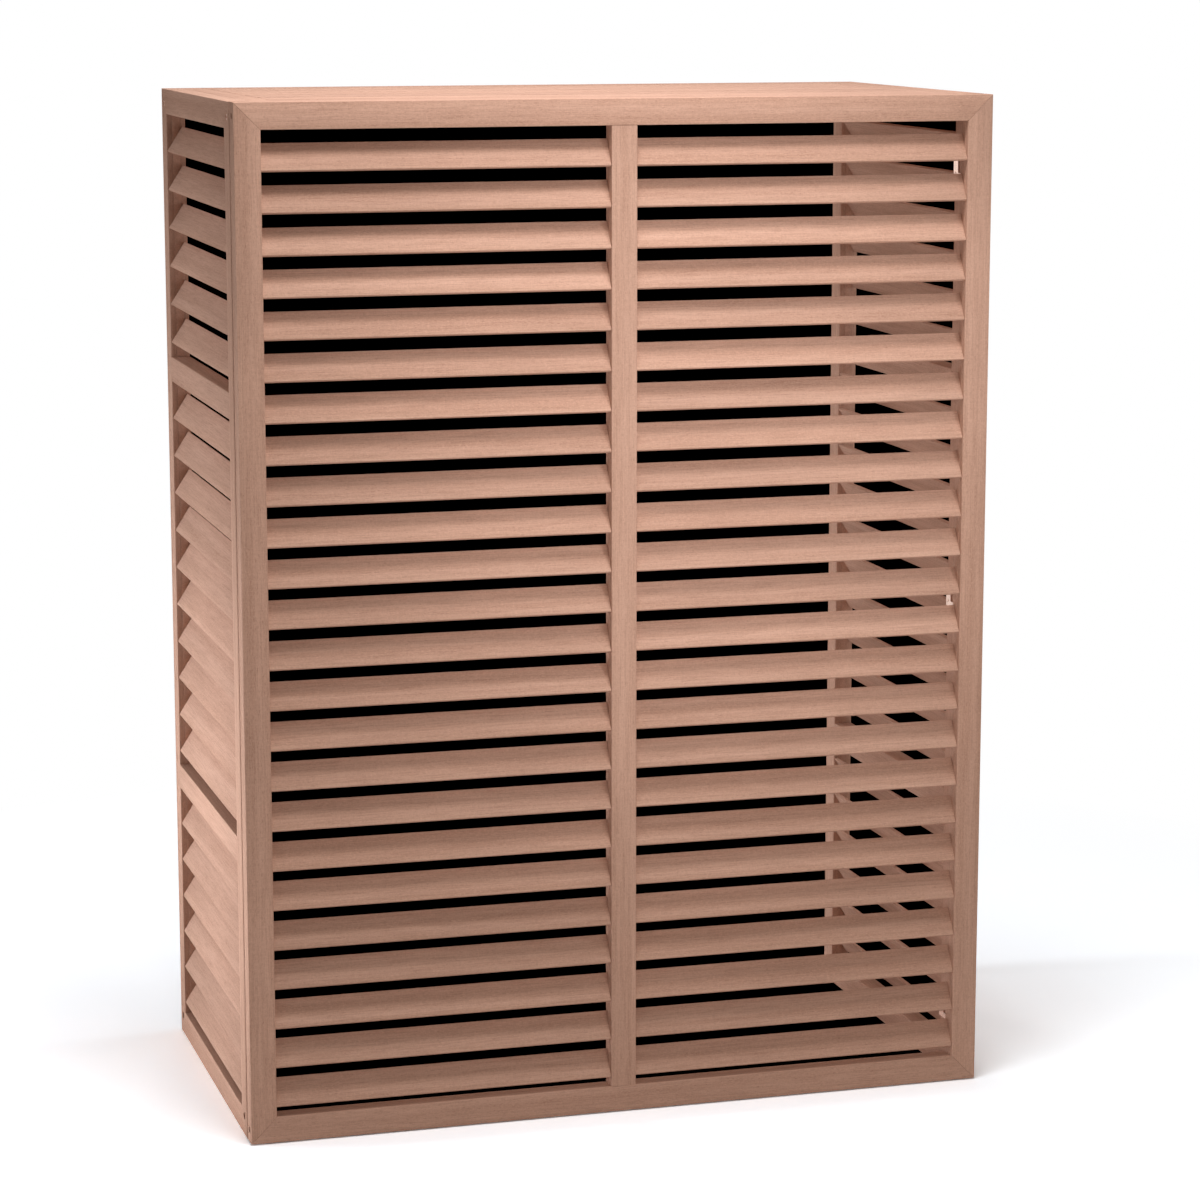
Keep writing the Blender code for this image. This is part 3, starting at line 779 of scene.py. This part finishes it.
def bent_plate(node, end_x):
    """A plate that lies on the stile's front, bends round its corner and follows its inside.

    Its section starts as one face at the far end of the inner arm, and is drawn along the
    arm, spun round the bend and drawn on to end_x. A slot is cut where the door's stile goes.
    """
    hardware = settings("hardware")
    thickness, head = hardware.leaf_thickness, hardware.screw_radius
    low, high = corners(node)
    front = corners("right_front_stile")[0].y - FIT - thickness
    bend, inner = thickness * 1.7, low.x + thickness
    margin, end_margin = head * 2.4, head * 5
    section = (low.x, low.z), (inner, low.z), (inner, high.z), (low.x, high.z)
    bm = bmesh.new()
    face = bm.faces.new([bm.verts.new((x, high.y, z)) for x, z in section])
    region = draw_on(bm, [face, *face.edges, *face.verts], (0, front + bend - high.y, 0))
    spun = bmesh.ops.spin(
        bm,
        geom=region,
        cent=(low.x + bend, front + bend, 0),
        axis=(0, 0, 1),
        angle=math.pi / 2,
        steps=8,
        use_duplicate=False,
    )
    draw_on(bm, spun["geom_last"], (end_x - low.x - bend, 0, 0))
    bmesh.ops.recalc_face_normals(bm, faces=bm.faces[:])
    slot_front = hinge_axis()[Y] + hardware.barrel_radius * 1.4
    slot = bmesh.new()
    slot_low = Vector((low.x - OVERRUN, slot_front, low.z + margin))
    add_bar(slot, slot_low, Vector((end_x, high.y - end_margin, high.z - margin)), thickness)
    return carve(bm, slot), leaf_screws(node, low.x, high.y - margin, axis_vector(X, -1))


def flat_plate(node, end_x):
    """A plate that lies on the inside of the door's stile and runs to end_x."""
    hardware = settings("hardware")
    low, high = corners(node)
    low.y = corners("door_right_stile")[1].y + FIT
    outside = low.y + hardware.leaf_thickness
    bm = bmesh.new()
    add_bar(bm, low, Vector((end_x, outside, high.z)), FIT)
    centre_x = (low.x + end_x - hardware.barrel_radius) / 2
    return bm, leaf_screws(node, centre_x, outside, axis_vector(Y))


def leaf_screws(node, x, y, facing):
    """Where a leaf's two screws sit, and the way that their heads face."""
    low, high = corners(node)
    inset = (high.z - low.z) * 0.2
    return [(Vector((x, y, height)), facing) for height in (low.z + inset, high.z - inset)]


def knuckle_span(low, high, number, inner, outer):
    """Heights of one of three knuckles, less inner at its neighbours and outer at the ends."""
    third = (high - low) / 3
    start = low + number * third + (inner if number else outer)
    finish = low + (number + 1) * third - (inner if number < 2 else outer)
    return start, finish


def fit_knuckles(bm, low, high, wraps):
    """Makes room on a leaf for the pin and the other leaf's knuckles, and adds its own."""
    hardware = settings("hardware")
    up = axis_vector(Z)
    foot = Vector((*hinge_axis(), low - OVERRUN))
    bm = bore(bm, foot, up, high - low + 2 * OVERRUN, hardware.pin_radius + FIT)
    own, other = ((0, 2), (1,)) if wraps else ((1,), (0, 2))
    for number in other:
        start, finish = knuckle_span(low, high, number, -FIT / 2, -OVERRUN)
        base = Vector((*hinge_axis(), start))
        bm = bore(bm, base, up, finish - start, hardware.barrel_radius + FIT)
    for number in own:
        knuckle = bmesh.new()
        add_knuckle(knuckle, *knuckle_span(low, high, number, FIT / 2, 0))
        bm = carve(bm, knuckle, "UNION")
    return bm


def build_hinge_leaf(node, body, wraps):
    """A hinge leaf: a plate, its knuckles round the pin, and countersunk screws."""
    hardware = settings("hardware")
    low, high = corners(node)
    head = hardware.screw_radius
    sink_radius, sink_end = head * 1.12, head * 0.6
    plate = bent_plate if wraps else flat_plate
    bm, screws = plate(node, hinge_axis()[X])
    bm = fit_knuckles(bm, low.z, high.z, wraps)
    for point, facing in screws:
        mouth = point + facing * FIT
        bm = bore(bm, mouth, -facing, hardware.leaf_thickness, sink_radius, sink_end)
    new_piece(node + "_steel", bm, body, zinc_material(), [node])
    build_screw_heads(node + "_screws", body, screws, head)


def build_pin(node):
    """A hinge pin with domed ends."""
    low, high = corners(node)
    up = axis_vector(Z)
    foot = Vector((*hinge_axis(), low.z))
    radius = (high.x - low.x) / 2
    head = radius * 0.4
    rim, dome_end = head * 0.45, radius * 0.62
    shank = high.z - low.z - 2 * head
    bm = bmesh.new()
    add_rod(bm, foot + up * head, up, shank, settings("hardware").pin_radius)
    for height, facing in ((head, -up), (head + shank, up)):
        point = foot + up * height
        add_rod(bm, point, facing, rim, radius)
        add_rod(bm, point + facing * rim, facing, head - rim, radius, dome_end)
    new_piece(node + "_steel", bm, SCREEN, zinc_material(), [node])


# Catches


def build_catch(node):
    """A magnetic catch: a rounded housing, two pole plates at its nose and two screws."""
    nose, arris = 0.003, 0.0016
    pole_half, pole_length, pole_inset = 0.0009, 0.010, 0.006
    screw_inset, screw_back = 0.008, 0.002
    low, high = corners(node)
    bm = bmesh.new()
    add_bar(bm, low + axis_vector(Y, nose), high, arris)
    new_piece(node + "_housing", bm, SCREEN, plastic_material(), [node])
    bm = bmesh.new()
    for share in (0.28, 0.72):
        centre = low.x + (high.x - low.x) * share
        plate_low = Vector((centre - pole_half, low.y, low.z + pole_inset))
        plate_high = Vector((centre + pole_half, low.y + pole_length, high.z - pole_inset))
        add_bar(bm, plate_low, plate_high, FIT)
    new_piece(node + "_poles", bm, SCREEN, zinc_material())
    places = []
    for height in (low.z + screw_inset, high.z - screw_inset):
        point = Vector((high.x + FIT, (low.y + high.y) / 2 + screw_back, height))
        places.append((point, axis_vector(X)))
    radius = settings("hardware").screw_radius * 0.8
    build_screw_heads(node + "_screws", SCREEN, places, radius)


def build_strike(node):
    """A steel plate on the door for a catch to hold, with one screw."""
    low, high = corners(node)
    bm = bmesh.new()
    add_bar(bm, low, high, FIT)
    new_piece(node + "_steel", bm, DOOR, zinc_material(), [node])
    centre = middle(node)
    point = Vector((centre.x, high.y + FIT / 2, centre.z))
    radius = settings("hardware").screw_radius * 0.7
    build_screw_heads(node + "_screw", DOOR, [(point, axis_vector(Y))], radius)


# Stage


def seen_directly(graph):
    """One for rays from the camera, and for those mirrored or passed on to it."""
    rays = graph.add("ShaderNodeLightPath").outputs
    direct = graph.sum(rays["Is Camera Ray"], rays["Is Glossy Ray"], "MAXIMUM")
    return graph.sum(direct, rays["Is Transmission Ray"], "MAXIMUM")


def bare_material(name):
    """A material whose node tree holds its output alone. Returns it with its graph."""
    material = bpy.data.materials.new(name)
    material.use_nodes = True
    graph = Graph(material.node_tree)
    graph.tree.nodes.remove(graph.tree.nodes["Principled BSDF"])
    return material, graph


def finish_surface(graph, shader):
    """Joins a shader node to a material's output."""
    graph.set(graph.tree.nodes["Material Output"].inputs["Surface"], shader.outputs[0])


def build_floor():
    """A pale floor that looks white to the camera but keeps the screen's shadow."""
    half_width, white_from, white_to = 30, 1.0, 2.0
    gain = settings("stage").floor_gain
    material, graph = bare_material("pale_floor")
    near = graph.add("ShaderNodeBsdfDiffuse", {"Color": (gain, gain, gain, 1)})
    far = graph.add("ShaderNodeEmission", {"Color": WHITE, "Strength": 1.0})
    place = graph.add("ShaderNodeTexCoord").outputs["Object"]
    distance = graph.add("ShaderNodeVectorMath", {0: place}, operation="LENGTH").outputs["Value"]
    seen = graph.blend(graph.span(distance, white_from, white_to), near, far)
    lighting = graph.add("ShaderNodeBsdfDiffuse", {"Color": (0.85, 0.85, 0.85, 1)})
    finish_surface(graph, graph.blend(seen_directly(graph), lighting, seen))
    bm = bmesh.new()
    bmesh.ops.create_grid(bm, x_segments=1, y_segments=1, size=half_width)
    floor = mesh_object("floor", bm, material)


def dark_material(name, most_layers):
    """Painted shade: black from its front for the camera alone, and clear to everything else.

    It also stays clear where the sight line has already passed most_layers clear cards.
    """
    material, graph = bare_material(name)
    rays = graph.add("ShaderNodeLightPath").outputs
    facing = graph.add("ShaderNodeNewGeometry").outputs["Backfacing"]
    front = graph.sum(1.0, facing, "SUBTRACT")
    few = graph.sum(rays["Transparent Depth"], most_layers - 0.5, "LESS_THAN")
    share = graph.sum(graph.sum(rays["Is Camera Ray"], front, "MULTIPLY"), few, "MULTIPLY")
    clear = graph.add("ShaderNodeBsdfTransparent")
    black = graph.add("ShaderNodeEmission", {"Color": (0.0, 0.0, 0.0, 1), "Strength": 0.0})
    finish_surface(graph, graph.blend(share, clear, black))
    return material


def add_card(name, material, points):
    """Adds a thin card, facing the side from which its corners run anticlockwise."""
    bm = bmesh.new()
    bm.faces.new([bm.verts.new(point) for point in points])
    card = mesh_object(name, bm, material)


def add_upright_card(name, material, start, finish, top):
    """Adds a standing card between two points on the floor."""
    add_card(name, material, ((*start, 0), (*finish, 0), (*finish, top), (*start, top)))


def build_painted_shade_cards():
    """Painted shade behind and inside the screen: black cards, seen from inside the screen only,
    that make the gaps between the slats dark.

    They stand at the open back and outside each side, and one lies on the floor inside.
    The back and left cards are double, so that the others vanish when seen through them.
    """
    gap, side_overlap, top_overlap = 0.001, 0.012, 0.01
    # Painted shade: these cards show black in the gaps, where the shade inside the screen would be
    always = dark_material("painted_shade_behind", most_layers=99)
    first_only = dark_material("painted_shade_inside", most_layers=2)
    (left, floor_front, _), (inner_left, _, _) = corners("left_bottom_rail")
    inner_right, right = (corner.x for corner in corners("right_bottom_rail"))
    front, back = (corner.y for corner in corners("left_lower_cross_rail"))
    back += side_overlap
    top = corners("left_top_rail")[0].z + top_overlap
    open_back = corners(*frame["nodes"])[1].y
    floor_back = open_back - 1.1 * gap
    side = right + gap
    add_upright_card("dark_card_right", first_only, (side, back), (side, front), top)
    add_card("dark_card_floor", first_only, (
        (inner_left, floor_front, gap),
        (inner_right, floor_front, gap),
        (inner_right, floor_back, gap),
        (inner_left, floor_back, gap),
    ))
    for number, offset in (("1", 0.0), ("2", gap)):
        name, y = "dark_card_back_" + number, open_back - offset
        add_upright_card(name, always, (inner_left, y), (inner_right, y), top)
        name, side = "dark_card_left_" + number, left - 2 * gap + offset
        add_upright_card(name, always, (side, front), (side, back), top)


def build_world():
    """White round the screen for the camera, and an even plain light for everything else."""
    world = bpy.data.worlds.new("surroundings")
    bpy.context.scene.world = world
    world.use_nodes = True
    graph = Graph(world.node_tree)
    graph.tree.nodes.clear()
    daylight = settings("stage").daylight
    seen = graph.add("ShaderNodeBackground", {"Color": WHITE, "Strength": 1.0})
    light = graph.add("ShaderNodeBackground", {"Color": WHITE, "Strength": daylight})
    choice = graph.blend(seen_directly(graph), light, seen)
    graph.add("ShaderNodeOutputWorld", {"Surface": choice.outputs[0]})


# Tints, and the point on the door that both keys aim at
PLAIN = (1.0, 1.0, 1.0)
COOL = (1.0, 1.12, 1.25)
DOOR_MIDDLE = (0.15, -0.3, 1.05)

# Name, place, point aimed at, watts, angle of the cone and radius of the lamp, and tint
SPOT_LAMPS = (
    ("key_right", (1.4, -3.2, 1.3), DOOR_MIDDLE, 142, (26, 0.25), COOL),
    ("key_left", (-0.6, -3.2, 2.2), DOOR_MIDDLE, 80, (26, 0.25), PLAIN),
    ("low_left", (-2.6, 0.35, 0.18), (-0.57, 0.0, 0.3), 205, (38, 0.3), COOL),
    ("mid_left", (-2.6, 0.5, 1.3), (-0.57, 0.0, 0.9), 96, (46, 0.3), COOL),
    ("low_right", (2.8, 0.35, 0.4), (0.56, 0.0, 0.75), 95, (44, 0.3), PLAIN),
)

# Name, place, point aimed at, watts, width and height, and tint
PANEL_LAMPS = (
    ("panel_front", (0.25, -3.0, 1.0), (0.0, -0.3, 0.8), 18, (1.0, 1.0), PLAIN),
    ("panel_over_front", (-0.2, -1.05, 3.05), (-0.1, -0.25, 1.1), 18, (1.1, 0.4), PLAIN),
    ("panel_near_top", (-0.1, -0.62, 2.35), (-0.1, -0.3, 1.0), 7, (0.9, 0.2), COOL),
    ("panel_over_top", (0.0, 0.1, 3.4), (0.0, 0.0, 1.5), 28, (1.5, 0.8), COOL),
    ("panel_back", (-0.4, 3.2, 2.1), (0.0, 0.2, 0.8), 30, (1.8, 1.4), PLAIN),
)


def add_lamp(name, lamp, place, target, power, tint):
    """Places a lamp's data in the scene, pointed at a target."""
    lamp.energy = power
    lamp.color = tint
    holder = link_object(name, lamp)
    holder.location = place
    holder.rotation_euler = (Vector(target) - Vector(place)).to_track_quat("-Z", "Y").to_euler()


def build_lamps():
    """Two keys on the door, soft panels round it, and low lamps for the sides."""
    for name, place, target, power, (angle, radius), tint in SPOT_LAMPS:
        lamp = bpy.data.lights.new(name, "SPOT")
        lamp.spot_size = math.radians(angle)
        lamp.spot_blend = 1.0
        lamp.shadow_soft_size = radius
        add_lamp(name, lamp, place, target, power, tint)
    for name, place, target, power, size, tint in PANEL_LAMPS:
        lamp = bpy.data.lights.new(name, "AREA")
        lamp.shape = "RECTANGLE"
        lamp.size, lamp.size_y = size
        add_lamp(name, lamp, place, target, power, tint)


def build_camera():
    """The camera at the photographed angle."""
    stage = settings("stage")
    camera = bpy.data.cameras.new("camera")
    camera.sensor_width = 36
    camera.lens = stage.camera_lens
    holder = link_object("camera", camera)
    holder.location = stage.camera_place
    holder.rotation_euler = Euler((math.pi / 2 - stage.camera_dip, 0, -stage.camera_yaw))
    bpy.context.scene.camera = holder


# Operators


DOOR_FRAME = ("door_left_stile", "door_right_stile", "door_bottom_rail", "door_top_rail")
TOP_FRAME = ("top_left_end", "top_right_end", "top_front_rail", "top_rear_rail")
SIDE_BARS = ("front_stile", "rear_stile", "bottom_rail", "top_rail")


def nodes_with(*words):
    """Nodes whose names hold every word, in order of name."""
    return sorted(node for node in frame["nodes"] if all(word in node for word in words))


def all_spline_boxes(nodes):
    """The grooves for the splines of several louvre groups."""
    return [box for node in nodes for box in spline_boxes(node, FIT)]


def build_frame(group, body, grooves=(), holes=()):
    """The four mitred bars of a frame, with grooves in the stiles alone."""
    for node in group:
        frame_bar(node, body, group, grooves if node.endswith("stile") else (), holes)


def side_holes(side, face, driven):
    """The bolts' holes at the top of a side panel, and the empty ones at its feet."""
    hardware = settings("hardware")
    bolt_steps = ((hardware.bolt_radius + FIT, BOLT_HOLE_DEPTH),)
    holes = []
    for bolt in nodes_with(side, "top_bolt"):
        head = middle(bolt)
        foot_mouth = Vector((face, head.y, hardware.foot_hole_height))
        holes.append((Vector((face, head.y, head.z)), driven, bolt_steps))
        holes.append((foot_mouth, driven, FOOT_HOLE_STEPS))
    return holes


class SCREEN_OT_door_frame(bpy.types.Operator):
    """Build the door's mitred frame and its mullion"""

    bl_idname = "air_screen.door_frame"
    bl_label = "Door frame"

    def execute(self, context):
        hardware = settings("hardware")
        steps = ((hardware.screw_hole_radius, hardware.screw_hole_depth),)
        holes = []
        for screw in nodes_with("door_screw"):
            head, driven = fastener_line(screw)
            holes.append((head - driven * hardware.screw_sink, driven, steps))
        grooves = all_spline_boxes(nodes_with("door", "louvres"))
        build_frame(DOOR_FRAME, DOOR, grooves, holes)
        frame_bar("door_mullion", DOOR, (), grooves)
        return {"FINISHED"}


class SCREEN_OT_side_frames(bpy.types.Operator):
    """Build the frames and cross rails of both side panels"""

    bl_idname = "air_screen.side_frames"
    bl_label = "Side frames"

    def execute(self, context):
        for side, outwards in (("left", -1), ("right", 1)):
            group = [side + "_" + bar for bar in SIDE_BARS]
            low, high = corners(*group)
            face = low.x if outwards < 0 else high.x
            bays = [node for node in nodes_with(side, "louvres") if not node.startswith("door")]
            holes = side_holes(side, face, axis_vector(X, -outwards))
            build_frame(group, SCREEN, all_spline_boxes(bays), holes)
            for node in nodes_with(side, "cross_rail"):
                frame_bar(node, SCREEN)
        return {"FINISHED"}


class SCREEN_OT_louvres(bpy.types.Operator):
    """Build every bay of slats with its splines"""

    bl_idname = "air_screen.louvres"
    bl_label = "Louvres"

    def execute(self, context):
        for node in nodes_with("louvres"):
            build_louvres(node, DOOR if node.startswith("door") else SCREEN)
        return {"FINISHED"}


class SCREEN_OT_top(bpy.types.Operator):
    """Build the top's frame, boards, cleats and batten"""

    bl_idname = "air_screen.top"
    bl_label = "Slatted top"

    def execute(self, context):
        build_frame(TOP_FRAME, SCREEN)
        for node in nodes_with("top_board") + nodes_with("cleat") + nodes_with("batten"):
            frame_bar(node, SCREEN)
        return {"FINISHED"}


class SCREEN_OT_hinges(bpy.types.Operator):
    """Build the hinges' leaves, screws and pins"""

    bl_idname = "air_screen.hinges"
    bl_label = "Hinges"

    def execute(self, context):
        for node in nodes_with("door_leaf"):
            build_hinge_leaf(node, DOOR, wraps=False)
        for node in nodes_with("frame_leaf"):
            build_hinge_leaf(node, SCREEN, wraps=True)
        for node in nodes_with("hinge_pin"):
            build_pin(node)
        return {"FINISHED"}


class SCREEN_OT_catches(bpy.types.Operator):
    """Build the magnetic catches and their strike plates"""

    bl_idname = "air_screen.catches"
    bl_label = "Catches"

    def execute(self, context):
        for node in nodes_with("magnetic_catch"):
            build_catch(node)
        for node in nodes_with("strike_plate"):
            build_strike(node)
        return {"FINISHED"}


class SCREEN_OT_fasteners(bpy.types.Operator):
    """Build the top's bolts and the door's mitre screws"""

    bl_idname = "air_screen.fasteners"
    bl_label = "Bolts and screws"

    def execute(self, context):
        hardware = settings("hardware")
        for node in nodes_with("top_bolt"):
            build_fastener(node, SCREEN, hardware.bolt_radius, BOLT_HEAD_DEPTH, "hexagon")
        for node in nodes_with("door_screw"):
            build_fastener(node, DOOR, hardware.screw_radius, SCREW_HEAD_DEPTH, "cross")
        return {"FINISHED"}


class SCREEN_OT_stage(bpy.types.Operator):
    """Set the floor, the black cards of painted shade, the world, the lamps and the camera"""

    bl_idname = "air_screen.stage"
    bl_label = "Stage"

    def execute(self, context):
        context.scene.view_settings.view_transform = "Standard"
        build_floor()
        build_painted_shade_cards()
        build_world()
        build_lamps()
        build_camera()
        return {"FINISHED"}


OPERATORS = (
    SCREEN_OT_door_frame,
    SCREEN_OT_side_frames,
    SCREEN_OT_louvres,
    SCREEN_OT_top,
    SCREEN_OT_hinges,
    SCREEN_OT_catches,
    SCREEN_OT_fasteners,
    SCREEN_OT_stage,
)

GROUPS = {
    "timber": TimberSettings,
    "louvres": LouvreSettings,
    "hardware": HardwareSettings,
    "stage": StageSettings,
}


class SCREEN_PT_sidebar(bpy.types.Panel):
    """Lists the settings and the operators"""

    bl_idname = "SCREEN_PT_sidebar"
    bl_label = "Air conditioner screen"
    bl_space_type = "VIEW_3D"
    bl_region_type = "UI"
    bl_category = "Screen"

    def draw(self, context):
        for kind, group in GROUPS.items():
            box = self.layout.box()
            for name in group.__annotations__:
                box.prop(settings(kind), name)
        for operator in OPERATORS:
            self.layout.operator(operator.bl_idname)


def register():
    """Registers the classes and gives the scene its settings."""
    for kind, group in GROUPS.items():
        bpy.utils.register_class(group)
        setattr(bpy.types.Scene, "screen_" + kind, PointerProperty(type=group))
    for operator in OPERATORS:
        bpy.utils.register_class(operator)
    bpy.utils.register_class(SCREEN_PT_sidebar)


def unregister():
    """Takes the classes and the settings away again."""
    bpy.utils.unregister_class(SCREEN_PT_sidebar)
    for operator in reversed(OPERATORS):
        bpy.utils.unregister_class(operator)
    for kind, group in reversed(GROUPS.items()):
        delattr(bpy.types.Scene, "screen_" + kind)
        bpy.utils.unregister_class(group)


def main():
    """Builds the whole screen on its stage."""
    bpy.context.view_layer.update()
    register()
    for operator in OPERATORS:
        module, name = operator.bl_idname.split(".")
        getattr(getattr(bpy.ops, module), name)()


if __name__ == "__main__":
    main()
